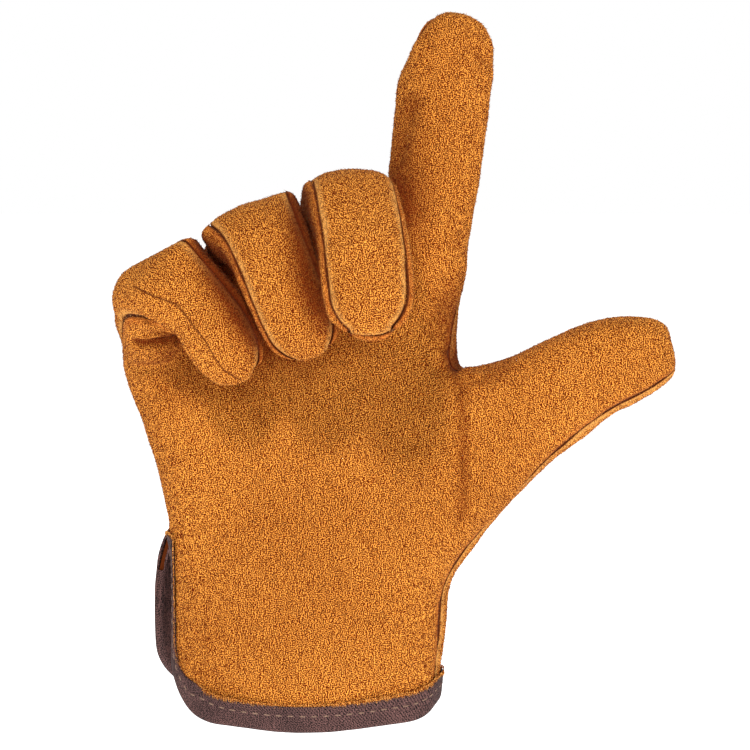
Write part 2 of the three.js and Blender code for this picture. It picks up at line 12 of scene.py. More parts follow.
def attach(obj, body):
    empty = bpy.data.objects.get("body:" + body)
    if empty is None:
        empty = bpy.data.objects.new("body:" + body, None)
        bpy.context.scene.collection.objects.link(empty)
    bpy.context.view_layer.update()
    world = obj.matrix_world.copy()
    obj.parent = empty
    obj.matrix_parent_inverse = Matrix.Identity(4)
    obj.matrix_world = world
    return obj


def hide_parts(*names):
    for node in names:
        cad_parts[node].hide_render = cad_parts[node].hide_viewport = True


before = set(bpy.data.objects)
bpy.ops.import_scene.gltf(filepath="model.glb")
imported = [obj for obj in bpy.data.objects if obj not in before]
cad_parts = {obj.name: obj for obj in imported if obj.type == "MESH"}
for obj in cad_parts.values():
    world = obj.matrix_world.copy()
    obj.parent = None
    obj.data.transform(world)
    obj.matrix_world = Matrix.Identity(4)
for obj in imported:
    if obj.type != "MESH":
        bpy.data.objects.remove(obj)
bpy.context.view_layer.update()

collection = bpy.context.scene.collection
bpy.ops.object.select_all(action="DESELECT")

# View: a camera 0.9 m in front of the palm and a little above it, in a white studio. A small lamp high in front
# casts the soft shadow of the fist, and two wide ones fill it. The glove is held up by its cuff opening, so the
# floor is some way below it.
VIEW_CENTRE = Vector((0.0221, 0.0, 0.1156))
VIEW_DISTANCE = 0.9
VIEW_ELEVATION = math.radians(6)
VIEW_ANGLE = math.radians(16.12)
FLOOR_HEIGHT = -0.14
SKY_LIGHT = 0.22

towards_camera = Vector((0, -math.cos(VIEW_ELEVATION), math.sin(VIEW_ELEVATION)))
camera = bpy.data.objects.new("camera", bpy.data.cameras.new("camera"))
camera.location = VIEW_CENTRE + towards_camera * VIEW_DISTANCE
camera.rotation_euler = (-towards_camera).to_track_quat("-Z", "Y").to_euler()
camera.data.angle = VIEW_ANGLE
camera.data.clip_start = 0.01
collection.objects.link(camera)
bpy.context.scene.camera = camera
bpy.context.scene.view_settings.view_transform = "Standard"

bpy.ops.mesh.primitive_plane_add(size=14, location=(0, 0, FLOOR_HEIGHT))
floor = bpy.context.object
floor.name = "floor"
floor_paper = bpy.data.materials.new("floor_paper")
floor_paper.use_nodes = True
paper = floor_paper.node_tree.nodes["Principled BSDF"]
paper.inputs["Base Color"].default_value = (0.9, 0.9, 0.9, 1)
paper.inputs["Roughness"].default_value = 0.9
paper.inputs["Emission Color"].default_value = (1, 1, 1, 1)
paper.inputs["Emission Strength"].default_value = 0.95
floor.data.materials.append(floor_paper)

world = bpy.data.worlds.new("studio")
world.use_nodes = True
sky = world.node_tree
sky.nodes["Background"].inputs["Color"].default_value = (1, 1, 1, 1)
seen = sky.nodes.new("ShaderNodeLightPath").outputs["Is Camera Ray"]
brightness = sky.nodes.new("ShaderNodeMapRange")
brightness.inputs["To Min"].default_value = SKY_LIGHT
sky.links.new(seen, brightness.inputs["Value"])
sky.links.new(brightness.outputs["Result"], sky.nodes["Background"].inputs["Strength"])
bpy.context.scene.world = world

# name, place, width in metres, power in watts
LAMPS = [
    ("key_lamp", (-0.25, -1.15, 1.15), 0.22, 15.8),
    ("fill_lamp", (0.9, -0.9, 0.35), 0.9, 5.0),
    ("back_lamp", (0.2, 1.2, 0.8), 0.9, 6.0),
]
for name, place, width, power in LAMPS:
    lamp = bpy.data.lights.new(name, "AREA")
    lamp.size = width
    lamp.energy = power
    stand = bpy.data.objects.new(name, lamp)
    stand.location = place
    stand.rotation_euler = (VIEW_CENTRE - Vector(place)).to_track_quat("-Z", "Y").to_euler()
    collection.objects.link(stand)

# Palm: one piece of split cowhide, 1.5 mm thick, from the hem over the palm to the tips of all five digits. Its
# raw suede side is outside, and its edges are turned in at the seams.
HIDE_THICKNESS = 0.0015
THICKNESS_TOLERANCE = 3e-6
EDGE_ROUND = 0.0006
MERGE_GAP = 1e-6
HIDE_LEVELS = 2
HIDE_LIGHT = (0.98, 0.39, 0.062, 1)
HIDE_MID = (0.35, 0.078, 0.003, 1)
HIDE_DARK = (0.12, 0.01, 0.0002, 1)
# painted shade, laid in the folds of the fist and in narrow creases
HIDE_PAINTED_SHADE = (0.16, 0.018, 0.001, 1)
HIDE_TURNED = (0.55, 0.13, 0.018, 1)
HIDE_RUBBED = (0.85, 0.42, 0.11, 1)
# dark of the stitch groove and of the drawn lines: a seam line on the back, painted shade on the palm
HIDE_SEAM_AND_FOLD_SHADE = (0.12, 0.022, 0.003, 1)

# each crease: its line of points, its width and its depth, all in millimetres; a depth below 0 is a ridge
PALM_CREASES = [
    ([(49, -8, 117), (51, -15, 113), (51.4, -19, 102), (51.4, -20, 89), (51.5, -19, 76), (51, -18, 70)],
     2.4, 0.95),
    ([(65, -21.7, 95.8), (70, -21.7, 96.8), (75, -21, 96.1), (80, -20.5, 96.7), (84, -20, 97.3)], 1.6, 0.3),
    ([(46, -8, 124), (48, -6, 120.6), (50, -3, 118)], 1.8, 1.2),
    ([(46, -12, 122), (50, -13, 117.5), (57, -14, 116)], 1.6, 0.7),
    ([(42.6, -15, 209), (41.3, -14.7, 205.4), (40.2, -14.4, 201), (38.4, -14.1, 195), (36.6, -13.8, 188)],
     1.4, 1.0),
    ([(39.6, -14.6, 208), (38.6, -14.4, 203), (37.3, -14.1, 197), (35.4, -13.5, 189)], 2.9, 0.9),
    ([(57, -14, 225), (61, -10, 221)], 2.4, 0.8),
    ([(-56, -24, 129.5), (-50.5, -24.3, 129.4), (-47.4, -22.7, 129.6), (-44, -20.5, 130), (-40, -18, 130)],
     1.8, 1.6),
    ([(0, -22, 96), (18, -22, 82), (30, -21, 66)], 7.0, 0.7),
    ([(-40, -17, 98), (-20, -20, 88), (-6, -21, 74)], 6.0, 0.6),
]

# lines drawn on the palm in painted shade, in millimetres: the edge of the fold under the little finger, and
# the fork of the thumb
PALM_LINES = [
    [(-56, -24, 129.5), (-50.5, -24.3, 129.4), (-47.4, -22.7, 129.6), (-44.2, -20.5, 130.1), (-40, -18, 130)],
    [(46.3, -7.9, 124.2), (48.1, -5.8, 120.6), (50.2, -2.5, 118.2)],
]

# where the worn hide has settled: middle of the place, radius and move, in millimetres, one after the other
SETTLED = [
    ((32.5, -2, 228.5), 9.5, (2.6, 0, -3.2)),
    ((-37.5, -35, 159), 8, (-0.5, 0, 4.0)),
    ((-30, -33, 164), 6, (-3.0, 0, -0.3)),
    ((-31.5, -33, 160), 3.5, (-2.2, 0, 0)),
    ((-33.8, -32, 160), 4.5, (0, 0, 3.6)),
    ((-15.9, -40.2, 120.5), 1.8, (-1.4, 0.6, 1.2)),
    ((-4, -30, 175), 6.5, (0, 0, 4.6)),
    ((49, -8, 134), 10, (0.5, 2.6, 0)),
    ((-61, -18, 149), 9, (-1.6, 0, 2.8)),
    ((66, -4, 70), 20, (0.8, 0, -0.9)),
    ((93, -8, 95), 9, (0.9, 0, -1.2)),
    ((71, -6, 125), 16, (0.4, 0, -1.5)),
    ((-36, -19, 2), 9, (-0.8, 0, -1.5)),
    ((36, -15, 3), 9, (0.8, 0, -1.6)),
]


def choose(piece):
    """Select one piece alone and make it the active one."""
    bpy.ops.object.select_all(action="DESELECT")
    piece.select_set(True)
    bpy.context.view_layer.objects.active = piece


def add_piece(name, mesh):
    """A new piece with that mesh, chosen."""
    piece = bpy.data.objects.new(name, mesh)
    collection.objects.link(piece)
    choose(piece)
    return piece


def finish_with(piece, kind, **settings):
    """Add a modifier to a piece and apply it."""
    choose(piece)
    modifier = piece.modifiers.new(kind.lower(), kind)
    for setting, value in settings.items():
        setattr(modifier, setting, value)
    bpy.ops.object.modifier_apply(modifier=modifier.name)


def patches_of(faces, sharpest=math.inf):
    """Faces in groups: each group hangs together by edges that aren't sharper than that angle."""
    unseen = dict.fromkeys(faces)
    patches = []
    while unseen:
        patch = [unseen.popitem()[0]]
        for face in patch:
            for edge in face.edges:
                for other in edge.link_faces:
                    if other in unseen and edge.calc_face_angle(0) < sharpest:
                        unseen.pop(other)
                        patch.append(other)
        patches.append(patch)
    return patches


def outer_side(node, name):
    """Copy of a hide node as one open surface of quads: its outer side, without the wall and the inner side."""
    piece = add_piece(name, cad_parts[node].data.copy())
    bpy.ops.object.mode_set(mode="EDIT")
    bpy.ops.mesh.select_all(action="SELECT")
    bpy.ops.mesh.remove_doubles(threshold=MERGE_GAP)
    bpy.ops.object.mode_set(mode="OBJECT")
    hide = bmesh.new()
    hide.from_mesh(piece.data)
    # Edges as long as the hide is thick join its two sides; faces with such edges are the wall between them.
    posts = {edge for edge in hide.edges if abs(edge.calc_length() - HIDE_THICKNESS) < THICKNESS_TOLERANCE}
    wall = [face for face in hide.faces if any(edge in posts for edge in face.edges)]
    bmesh.ops.delete(hide, geom=wall, context="FACES")
    sides = patches_of(hide.faces)
    sides.sort(key=lambda side: sum(face.calc_area() for face in side))
    outer = sides.pop()
    bmesh.ops.delete(hide, geom=[face for side in sides for face in side], context="FACES")
    # Each quad of the net was cut across into two triangles. The corner opposite to the cut is known for one of
    # them, and the cuts of the others are found from it by spreading over the surface.
    start = next(v for v in hide.verts if not v.is_boundary and len(v.link_edges) == 4)
    edge_corner = {start.link_faces[0]: start}
    spread = [start.link_faces[0]]
    cuts = {}
    for face in spread:
        corner = edge_corner[face]
        for edge in face.edges:
            crossing = corner not in edge.verts
            if crossing and len(edge.link_faces) == 2:
                cuts[edge] = True
            for other in edge.link_faces:
                if other in edge_corner:
                    continue
                opposite = next(v for v in other.verts if v not in edge.verts)
                edge_corner[other] = opposite if crossing else corner
                spread.append(other)
    bmesh.ops.dissolve_edges(hide, edges=list(cuts), use_verts=False)
    hide.to_mesh(piece.data)
    hide.free()
    return piece


def points_of(mesh):
    """Places of all points of a mesh, one row each."""
    places = np.empty(len(mesh.vertices) * 3, np.float32)
    mesh.vertices.foreach_get("co", places)
    return places.reshape(-1, 3).astype(float)


def normals_of(mesh):
    """Outward directions at all points of a mesh."""
    directions = np.empty(len(mesh.vertices) * 3, np.float32)
    mesh.vertex_normals.foreach_get("vector", directions)
    return directions.reshape(-1, 3).astype(float)


def move_points(mesh, places):
    """Put all points of a mesh in new places."""
    mesh.vertices.foreach_set("co", places.astype(np.float32).ravel())
    mesh.update()


def write_values(piece, name, values):
    """Keep one number for each point of a piece as an attribute that its material reads."""
    kept = piece.data.attributes.get(name) or piece.data.attributes.new(name, "FLOAT", "POINT")
    kept.data.foreach_set("value", np.asarray(values, np.float32))


def read_values(piece, name):
    """The numbers of such an attribute."""
    values = np.empty(len(piece.data.vertices), np.float32)
    piece.data.attributes[name].data.foreach_get("value", values)
    return values.astype(float)


def even_out(piece, values, rounds):
    """Values at the points of a piece, mixed with those of their neighbours."""
    near, far = np.array([edge.vertices for edge in piece.data.edges]).T
    count = np.ones(len(values))
    np.add.at(count, near, 1)
    np.add.at(count, far, 1)
    for turn in range(rounds):
        total = values.copy()
        np.add.at(total, near, values[far])
        np.add.at(total, far, values[near])
        values = (total.T / count).T
    return values


def unit(rows):
    """The same directions with length 1."""
    return rows / np.linalg.norm(rows, axis=1)[:, None]


def lengths_along(row):
    """How far along a row of points each of them lies."""
    return np.concatenate([[0], np.cumsum(np.linalg.norm(np.diff(row, axis=0), axis=1))])


def at_stops(stops, reach, row):
    """Values of a row of points at some stops, where reach is how far along the row each point lies."""
    return np.column_stack([np.interp(stops, reach, row[:, axis]) for axis in range(3)])


def skin_of(pieces):
    """Surface of some pieces, in which the nearest place or the end of a ray is looked up."""
    joined = bmesh.new()
    for piece in pieces:
        joined.from_mesh(piece.data)
    skin = BVHTree.FromBMesh(joined)
    joined.free()
    return skin


def ways_from(places, line):
    """For each step of a line of points: the way from it to every place, and the step."""
    for start, end in zip(line[:-1], line[1:]):
        step = end - start
        share = np.clip(((places - start) @ step) / (step @ step), 0, 1)
        yield places - start - share[:, None] * step, step


# a crease's swelling on both sides: its share of the depth, and its place in widths of the crease; and how dark
# the painted shade makes creases that are narrower than a limit in millimetres
CREASE_SWELLING = 0.45
CREASE_SHOULDER = 1.9
CREASE_DARKNESS = 0.3
NARROW_CREASE = 5


def press_creases(piece, creases):
    """Sink creases into a surface, each with a soft swelling on both sides."""
    places = points_of(piece.data)
    directions = normals_of(piece.data)
    crease_shade = np.zeros(len(places))
    for line, width, depth in creases:
        near = [np.linalg.norm(way, axis=1) for way, step in ways_from(places, np.array(line) / 1000)]
        gap = np.min(near, axis=0) * 1000 / width
        profile = np.exp(-gap ** 2) - CREASE_SWELLING * np.exp(-(gap - CREASE_SHOULDER) ** 2)
        places -= directions * (profile * depth / 1000)[:, None]
        # narrow creases also get painted shade in their colour
        if width < NARROW_CREASE and depth > 0:
            crease_shade = np.maximum(crease_shade, CREASE_DARKNESS * depth ** 2 * np.exp(-gap ** 2))
    move_points(piece.data, places)
    write_values(piece, "hollow", crease_shade)


# the index finger's section: its middle at one height, how that shifts with height, and half its width and
# depth, all in millimetres; then where its inner seam is round that section, and how far the twist carries
# it, in radians; and the heights between which the twist comes in and fades out
INDEX_HEIGHT = 192.5
INDEX_MIDDLE = (43.3, -2.0)
INDEX_SLOPE = 0.146
INDEX_HALVES = (16.0, 11.5)
INDEX_SEAM_ANGLE = -2.6
INDEX_TWIST = 0.7
INDEX_TWIST_SPREAD = 1.1
INDEX_TWIST_START = (168, 18)
INDEX_TWIST_END = (241, 14)
INDEX_REACH = (1.6, 0.3)
# the slit's edge on the palm side, in millimetres: its place and how the curl comes in across it; its lower and
# upper end, with a fade; and its depth, so that the edge at the back stays; then the curl itself in metres
SLIT_EDGE = (-45.6, 4)
SLIT_FOOT = 14
SLIT_HEAD = 61
SLIT_FADE = 9
SLIT_SIDE = (1.0, 2.5)
SLIT_CURL = (0.0027, 0.0022, 0.0)


def eased(share):
    """From 0 to 1 with a soft start and a soft end."""
    share = np.clip(share, 0, 1)
    return share ** 2 * (3 - 2 * share)


def settle(places):
    """Small moves of the worn hide. The index finger's leather is twisted, so that its inner seam lies on the
    far side, and the slit's edge on the palm side curls in behind the palm."""
    settled = places.copy()
    x, y, z = places.T * 1000
    middle = INDEX_MIDDLE[0] + INDEX_SLOPE * (z - INDEX_HEIGHT)
    u = (x - middle) / INDEX_HALVES[0]
    v = (y - INDEX_MIDDLE[1]) / INDEX_HALVES[1]
    away = np.angle(np.exp(1j * (np.arctan2(v, u) - INDEX_SEAM_ANGLE)))
    twist = -INDEX_TWIST * np.exp(-(away / INDEX_TWIST_SPREAD) ** 2)
    twist *= (eased((z - INDEX_TWIST_START[0]) / INDEX_TWIST_START[1])
              * eased((INDEX_TWIST_END[0] - z) / INDEX_TWIST_END[1])
              * eased((INDEX_REACH[0] - np.hypot(u, v)) / INDEX_REACH[1]))
    settled[:, 0] = (middle + INDEX_HALVES[0] * (u * np.cos(twist) - v * np.sin(twist))) / 1000
    settled[:, 1] = (INDEX_MIDDLE[1] + INDEX_HALVES[1] * (u * np.sin(twist) + v * np.cos(twist))) / 1000
    for middle, radius, move in SETTLED:
        near = np.exp(-(np.linalg.norm(settled * 1000 - middle, axis=1) / radius) ** 2)
        settled += near[:, None] * np.array(move) / 1000
    share = eased((SLIT_EDGE[0] - x) / SLIT_EDGE[1]
                  * np.clip((z - SLIT_FOOT) / SLIT_FADE, 0, 1)
                  * np.clip((SLIT_HEAD - z) / SLIT_FADE, 0, 1)
                  * np.clip((SLIT_SIDE[0] - y) / SLIT_SIDE[1], 0, 1))
    return settled + share[:, None] * np.array(SLIT_CURL)


FAR_FROM_LINES = 30.0


def mark_lines(piece, lines):
    """Write each point's distance from the nearest drawn line, in millimetres: with its side as the attribute
    line, and without it as the attribute line_reach."""
    places = points_of(piece.data)
    directions = normals_of(piece.data)
    reach = np.full(len(places), FAR_FROM_LINES)
    sided = reach.copy()
    for line in lines:
        for way, step in ways_from(places, np.array(line) / 1000):
            gap = np.linalg.norm(way, axis=1) * 1000
            side = np.sign((way * np.cross(step, directions)).sum(axis=1))
            closer = gap < reach
            reach[closer] = gap[closer]
            sided[closer] = (gap * side)[closer]
    write_values(piece, "line", sided)
    write_values(piece, "line_reach", reach)


# uneven hide: a broad and a finer rise and fall, each as height and length of its waves in metres
UNEVEN_WAVES = 14
BROAD_RISE = (0.00022, 0.022)
FINE_RISE = (0.00012, 0.009)


def soften(piece, seed, amount, grain):
    """Uneven hide: a slow rise and fall over the surface, made of a few waves in different directions."""
    random = np.random.default_rng(seed)
    places = points_of(piece.data)
    rise = np.zeros(len(places))
    for turn in range(UNEVEN_WAVES):
        wave = random.normal(size=3)
        wave *= 2 * math.pi / (grain * random.uniform(0.6, 1.8) * np.linalg.norm(wave))
        rise += np.sin(places @ wave + random.uniform(0, 6.3)) / UNEVEN_WAVES ** 0.5
    move_points(piece.data, places + normals_of(piece.data) * (rise * amount)[:, None])


def mark_seams(piece):
    """Write each point's distance from the nearest edge of the piece, in millimetres, as the attribute seam."""
    mesh = piece.data
    hide = bmesh.new()
    hide.from_mesh(mesh)
    rim = [v.co.copy() for v in hide.verts if v.is_boundary]
    rim += [(e.verts[0].co + e.verts[1].co) / 2 for e in hide.edges if e.is_boundary]
    hide.free()
    tree = KDTree(len(rim))
    for index, place in enumerate(rim):
        tree.insert(place, index)
    tree.balance()
    gaps = np.array([tree.find(v.co)[2] * 1000 for v in mesh.vertices], np.float32)
    write_values(piece, "seam", gaps)
    return gaps


# the groove at a seam and the swelling beside it, in millimetres
GROOVE_DEPTH = 0.35
GROOVE_WIDTH = 1.6
SWELLING_HEIGHT = 0.18
SWELLING_PLACE = 4.5
SWELLING_WIDTH = 2.5


def round_over(piece, gaps):
    """Turn the edges of a hide down towards the seam, so that the seam lies in a soft groove."""
    groove = GROOVE_DEPTH * np.exp(-(gaps / GROOVE_WIDTH) ** 2)
    swelling = SWELLING_HEIGHT * np.exp(-((gaps - SWELLING_PLACE) / SWELLING_WIDTH) ** 2)
    depth = groove - swelling
    places = points_of(piece.data) - normals_of(piece.data) * (depth / 1000)[:, None]
    move_points(piece.data, places)


def new_material(name):
    """A new material with two functions: node("ShaderNodeX", Input=value or socket) adds a node and gives it,
    and shade(Input=value or socket) sets the shader. Inputs i0, i1 and so on are given by number."""
    material = bpy.data.materials.new(name)
    material.use_nodes = True
    tree = material.node_tree

    def fill(made, inputs):
        for key, value in inputs.items():
            socket = made.inputs[int(key[1:])] if key[1:].isdigit() else made.inputs[key.replace("_", " ")]
            if isinstance(value, bpy.types.NodeSocket):
                tree.links.new(value, socket)
            else:
                socket.default_value = value

    def node(kind, settings=None, **inputs):
        made = tree.nodes.new(kind)
        for key, value in (settings or {}).items():
            setattr(made, key, value)
        fill(made, inputs)
        return made

    def shade(**inputs):
        fill(tree.nodes["Principled BSDF"], inputs)

    return material, node, shade


def ramp(node, factor, stops):
    """Colour ramp through stops of (position, colour)."""
    made = node("ShaderNodeValToRGB", Fac=factor)
    band = made.color_ramp
    while len(band.elements) < len(stops):
        band.elements.new(0.5)
    for element, (position, colour) in zip(band.elements, stops):
        element.position = position
        element.color = colour
    return made.outputs["Color"]


# the fibres' fineness, the rise that takes them from dark to light, and two steps towards the light, in metres
GRAIN_SCALE = 2450.0
GRAIN_STEP = 0.08
GRAIN_SHIFT = (0.0002, 0.0, -0.0002)
GRAIN_CROSS = (0.0002, 0.0, 0.0002)


def curled_grain(node):
    """Short curled fibres all over the hide, from 0 on their shaded side to 1 on the side that is lit."""
    place = node("ShaderNodeTexCoord").outputs["Object"]
    here = node("ShaderNodeTexNoise", Vector=place, Scale=GRAIN_SCALE, Detail=0.0)
    around = []
    for shift in (GRAIN_SHIFT, GRAIN_CROSS):
        beside = node("ShaderNodeVectorMath", {"operation": "ADD"}, i0=place, i1=shift)
        there = node("ShaderNodeTexNoise", Vector=beside.outputs["Vector"], Scale=GRAIN_SCALE, Detail=0.0)
        around.append(there.outputs["Fac"])
    both = node("ShaderNodeMath", {"operation": "ADD"}, i0=around[0], i1=around[1])
    rise = node("ShaderNodeMath", {"operation": "MULTIPLY_ADD"}, i0=both.outputs["Value"], i1=-0.5,
                i2=here.outputs["Fac"])
    curl = node("ShaderNodeMapRange", Value=rise.outputs["Value"], i1=-GRAIN_STEP, i2=GRAIN_STEP)
    return curl.outputs["Result"]


def broad_tone(node):
    """Slow change of tone over the hide, where it took the dye and the wear unevenly."""
    place = node("ShaderNodeTexCoord").outputs["Object"]
    patch = node("ShaderNodeTexNoise", Vector=place, Scale=20.0, Detail=2.0)
    return ramp(node, patch.outputs["Fac"], [(0.35, (0.9, 0.86, 0.82, 1)), (0.65, (1.06, 1.06, 1.04, 1))])


def suede(name, edge_colour):
    """Split suede with a fine curled grain, and another tone where its edges are turned in to the seams."""
    material, node, shade = new_material(name)
    curl = curled_grain(node)
    grain_colour = ramp(node, curl, [(0.0, HIDE_DARK), (0.6, HIDE_MID), (1.0, HIDE_LIGHT)])
    toned = node("ShaderNodeMix", {"data_type": "RGBA", "blend_type": "MULTIPLY"}, Factor=1.0,
                 i6=grain_colour, i7=broad_tone(node))
    place = node("ShaderNodeTexCoord").outputs["Object"]
    # the edges' own tone fades out unevenly, a few millimetres from the seam
    uneven = node("ShaderNodeTexNoise", Vector=place, Scale=70.0, Detail=3.0)
    seam = node("ShaderNodeAttribute", {"attribute_name": "seam"})
    wander = node("ShaderNodeMath", {"operation": "MULTIPLY_ADD"}, i0=uneven.outputs["Fac"], i1=4.0,
                  i2=seam.outputs["Fac"])
    near_seam = node("ShaderNodeMapRange", Value=wander.outputs["Value"], i1=2.6, i2=5.0, i3=0.55, i4=0.0)
    colour = node("ShaderNodeMix", {"data_type": "RGBA"}, Factor=near_seam.outputs["Result"],
                  i6=toned.outputs[2], i7=edge_colour)
    # the stitch groove: the last half millimetre, and drawn lines that end softly (on the palm, painted shade)
    at_seam = node("ShaderNodeMapRange", Value=seam.outputs["Fac"], i1=0.1, i2=0.7, i3=1.0, i4=0.0)
    colour = node("ShaderNodeMix", {"data_type": "RGBA"}, Factor=at_seam.outputs["Result"],
                  i6=colour.outputs[2], i7=HIDE_SEAM_AND_FOLD_SHADE)
    line = node("ShaderNodeAttribute", {"attribute_name": "line"})
    beside = node("ShaderNodeMath", {"operation": "ABSOLUTE"}, i0=line.outputs["Fac"])
    on_line = node("ShaderNodeMapRange", Value=beside.outputs["Value"], i1=0.12, i2=0.5, i3=1.0, i4=0.0)
    reach = node("ShaderNodeAttribute", {"attribute_name": "line_reach"})
    in_reach = node("ShaderNodeMapRange", Value=reach.outputs["Fac"], i1=1.0, i2=2.0, i3=0.9, i4=0.0)
    drawn = node("ShaderNodeMath", {"operation": "MULTIPLY"}, i0=on_line.outputs["Result"],
                 i1=in_reach.outputs["Result"])
    # painted shade in the folds of the fist and in the narrow creases
    hollow = node("ShaderNodeAttribute", {"attribute_name": "hollow"})
    in_hollow = node("ShaderNodeMapRange", Value=hollow.outputs["Fac"], i1=0.06, i2=0.42, i3=0.0, i4=0.85)
    colour = node("ShaderNodeMix", {"data_type": "RGBA"}, Factor=in_hollow.outputs["Result"],
                  i6=colour.outputs[2], i7=HIDE_PAINTED_SHADE)
    colour = node("ShaderNodeMix", {"data_type": "RGBA"}, Factor=drawn.outputs["Value"],
                  i6=colour.outputs[2], i7=HIDE_SEAM_AND_FOLD_SHADE)
    grooved = node("ShaderNodeMath", {"operation": "MULTIPLY_ADD"}, i0=drawn.outputs["Value"], i1=-1.5, i2=curl)
    bump = node("ShaderNodeBump", Strength=0.5, Distance=0.0003, Height=grooved.outputs["Value"])
    shade(Base_Color=colour.outputs[2], Normal=bump.outputs["Normal"], Roughness=0.95, Specular_IOR_Level=0.06,
          Sheen_Weight=0.05, Sheen_Roughness=0.6, Sheen_Tint=(1.0, 0.66, 0.35, 1))
    return material


turned_suede = suede("split_suede_turned_edges", HIDE_TURNED)


def carry(piece, material_slot, *nodes):
    """The piece moves with the glove's one body and stands for its nodes; material_slot is not used."""
    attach(piece, "root")
    if nodes:
        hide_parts(*nodes)


def hide_piece(node_name, name, creases, lines, seed, finish=turned_suede):
    """One piece of the hide in place of its node: smoothed, creased and uneven, with its edges turned down to
    the seams. Its wall is added by give_thickness, once the seams and the nap have been laid on it."""
    piece = outer_side(node_name, name)
    finish_with(piece, "SUBSURF", levels=HIDE_LEVELS, render_levels=HIDE_LEVELS)
    mark_lines(piece, lines)
    press_creases(piece, creases)
    move_points(piece.data, settle(points_of(piece.data)))
    gaps = mark_seams(piece)
    soften(piece, seed, *BROAD_RISE)
    soften(piece, seed + 1, *FINE_RISE)
    round_over(piece, gaps)
    piece.data.materials.clear()
    piece.data.materials.append(finish)
    carry(piece, "hide", node_name)
    return piece


def give_thickness(piece):
    """Wall of the hide, towards the hand, with a rounded rim."""
    finish_with(piece, "SOLIDIFY", thickness=HIDE_THICKNESS, offset=-1.0, use_rim=True, use_even_offset=False)
    finish_with(piece, "BEVEL", width=EDGE_ROUND, segments=2, limit_method="ANGLE",
                angle_limit=math.radians(62))
    choose(piece)
    bpy.ops.object.shade_smooth()


palm = hide_piece("palm_leather", "palm_hide", PALM_CREASES, PALM_LINES, 11)

# Back: the second piece of split cowhide, over the back of the hand and the backs of all five digits. It is
# sewn to the palm all round the hand, and wear has rubbed its edges pale.
BACK_CREASES = [
    ([(-46, 20, 66), (-20, 24, 74), (4, 24, 70)], 6.0, 0.6),
    ([(50, 18, 112), (44, 22, 92), (50, 20, 74)], 6.0, 0.7),
    ([(-30, 22, 116), (-29, 22, 104), (-26, 22, 92)], 4.0, 0.5),
    ([(-4, 22, 120), (-4, 22, 106), (-2, 22, 94)], 4.0, 0.5),
    ([(22, 20, 122), (20, 22, 108), (18, 22, 96)], 4.0, 0.5),
    ([(30, 12, 196), (42, 14, 194), (54, 10, 198)], 3.0, 0.5),
]
# the seam that runs down the outer side of the curled little finger, with a strip of the hide beyond it
LITTLE_SEAM = [(-56.4, -34.7, 148.5), (-52.5, -39.7, 146.8), (-49.4, -41.9, 145.5), (-46, -43.7, 144.6),
               (-41.8, -45.4, 143.1), (-38.4, -46.5, 139.2), (-35.9, -47.4, 135.6), (-32.2, -48.3, 131.2),
               (-29.4, -47.7, 125.8), (-27, -46.9, 122.2), (-23.8, -46.1, 120), (-21.5, -44.5, 118.5)]
BACK_CREASES.append((LITTLE_SEAM, 1.2, 0.4))
rubbed_suede = suede("split_suede_rubbed_edges", HIDE_RUBBED)
back = hide_piece("back_leather", "back_hide", BACK_CREASES, [LITTLE_SEAM], 21, rubbed_suede)

# Side strips: narrow forked pieces of the same hide between each two fingers. They give the fingers their
# depth, and are sewn to the palm along one edge and to the back along the other.
STRIP_PLACES = ("little_ring", "ring_middle", "middle_index")
strips = []
for turn, fingers in enumerate(STRIP_PLACES):
    strips.append(hide_piece("fourchette_" + fingers, "side_strip_" + fingers, [], [], 31 + 5 * turn))
hides = [palm, back] + strips

# Folds of the fist: painted shade, darker the deeper a point lies in them. How deep a point lies in them is the
# share of directions in which other hide is near it, looked for from just above the surface and mostly along
# its outward direction.
HOLLOW_REACH = 0.04
HOLLOW_RAYS = 32
HOLLOW_START = 0.0004
HOLLOW_AHEAD = 1.05
HOLLOW_EVENING = 5
FIST_FOOT = 0.088

fist_skin = skin_of(hides)
random = np.random.default_rng(41)
spread_out = unit(random.normal(size=(HOLLOW_RAYS, 3)))
for piece in hides:
    places = points_of(piece.data)
    directions = normals_of(piece.data)
    depth = np.zeros(len(places))
    for index in np.flatnonzero(places[:, 2] > FIST_FOOT):
        start = Vector(places[index] + directions[index] * HOLLOW_START)
        met = 0
        for way in spread_out + directions[index] * HOLLOW_AHEAD:
            met += fist_skin.ray_cast(start, Vector(way), HOLLOW_REACH)[0] is not None
        depth[index] = met / HOLLOW_RAYS
    depth = even_out(piece, depth, HOLLOW_EVENING)
    write_values(piece, "hollow", np.maximum(depth, read_values(piece, "hollow")))

# Seams: the pieces are sewn inside out, then turned. Their edges lie against each other behind each seam as a
# welt, painted dark with the seam's shade, and short bits of the golden thread show where the seam opens.
WELT_RADIUS = 0.00075
WELT_DEPTH = 0.00105
WELT_SIDES = 6
WELT_SMOOTHING = 6
SEAM_HALF = 0.00035
SEAM_THREAD_PITCH = 0.0033
SEAM_THREAD_DEPTH = 0.00032
SEAM_THREAD_LENGTH = 0.0017
SEAM_THREAD_WIDTH = 0.0004
# the tape covers the hem up to this height, and the slit up to the next one, left of this place
TAPED_HEM = 0.012
TAPED_SLIT = 0.063
TAPED_SIDE = -0.042
SHORTEST_RIM = 6
WELT_SHADE = (0.1, 0.02, 0.003, 1)
THREAD_GOLD = (0.62, 0.33, 0.1, 1)
THREAD_GOLD_SHADE = (0.3, 0.12, 0.03, 1)

# the welt is the turned hide, mostly in painted shade
welt_hide, node, shade = new_material("turned_hide")
welt_colour = ramp(node, curled_grain(node), [(0.0, WELT_SHADE), (1.0, HIDE_TURNED)])
welt_tone = node("ShaderNodeMix", {"data_type": "RGBA"}, Factor=0.7, i6=welt_colour, i7=WELT_SHADE)
shade(Base_Color=welt_tone.outputs[2], Roughness=0.95)


